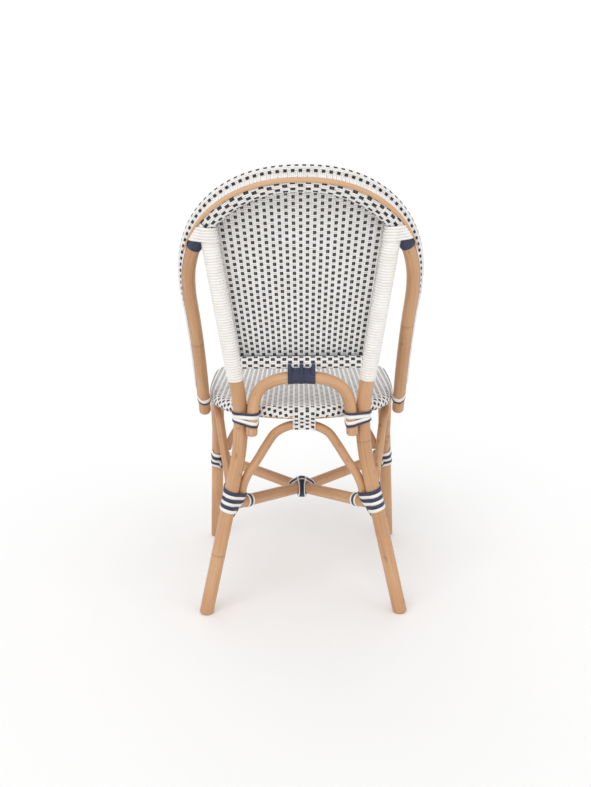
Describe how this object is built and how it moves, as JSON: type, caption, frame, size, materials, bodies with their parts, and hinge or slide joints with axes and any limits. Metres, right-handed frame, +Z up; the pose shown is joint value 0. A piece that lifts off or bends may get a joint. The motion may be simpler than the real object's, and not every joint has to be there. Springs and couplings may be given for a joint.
{
  "type": "rattan bistro chair",
  "caption": "Side chair of bent rattan poles with a woven seat, a woven round back, arched aprons and crossed stretchers, bound with flat cord at every joint.",
  "frame": {"origin": "on the floor, under the middle of the chair in X and Y", "axes": "+Z up, +Y towards the back of the chair, +X to the sitter's left"},
  "size_m": [0.469, 0.5638, 0.891],
  "materials": {
    "rattan": "clear lacquered rattan pole",
    "pale_rattan": "lacquered split rattan strip",
    "woven_cord": "white flat cord woven with black cord in a staggered square pattern",
    "white_binding": "cream white flat cord, satin",
    "navy_binding": "navy flat cord with white edge cords, satin",
    "screw_steel": "zinc plated",
    "dowel_wood": "raw"
  },
  "bodies": {
    "root": {"rear_leg_left": "rattan", "rear_leg_right": "rattan", "front_leg_left": "rattan", "front_leg_right": "rattan", "back_hoop": "rattan", "rim_core": "rattan", "bottom_rail": "rattan", "lower_back_arch": "rattan", "seat_ring": "rattan", "seat_brace_left": "rattan", "seat_brace_right": "rattan", "apron_arch_rear": "rattan", "apron_arch_front": "rattan", "apron_arch_left": "rattan", "apron_arch_right": "rattan", "stretcher_left": "rattan", "stretcher_right": "rattan", "hoop_trim": "pale_rattan", "rim_weave": "woven_cord", "crest_weave": "woven_cord", "back_panel": "woven_cord", "bottom_rail_weave": "woven_cord", "seat_weave": "woven_cord", "rear_arch_weave": "woven_cord", "post_winding_left": "white_binding", "post_winding_right": "white_binding", "crest_end_winding_left": "white_binding", "crest_end_winding_right": "white_binding", "navy_band_left": "navy_binding", "navy_band_right": "navy_binding", "rear_leg_lashing_left": "navy_binding", "rear_leg_lashing_right": "navy_binding", "front_leg_lashing_left": "navy_binding", "front_leg_lashing_right": "navy_binding", "rear_stretcher_lashing_left": "navy_binding", "rear_stretcher_lashing_right": "navy_binding", "front_stretcher_lashing_left": "navy_binding", "front_stretcher_lashing_right": "navy_binding", "hip_lashing_left": "navy_binding", "hip_lashing_right": "navy_binding", "hoop_end_lashing_left": "navy_binding", "hoop_end_lashing_right": "navy_binding", "centre_lashing_ring": "navy_binding", "centre_lashing_stem": "navy_binding", "centre_wrap": "navy_binding", "hip_screw_left": "screw_steel", "hip_screw_right": "screw_steel", "hoop_end_screw_left": "screw_steel", "hoop_end_screw_right": "screw_steel", "cross_screw": "screw_steel", "front_leg_dowel_left": "dowel_wood", "front_leg_dowel_right": "dowel_wood"}
  },
  "joints": []
}
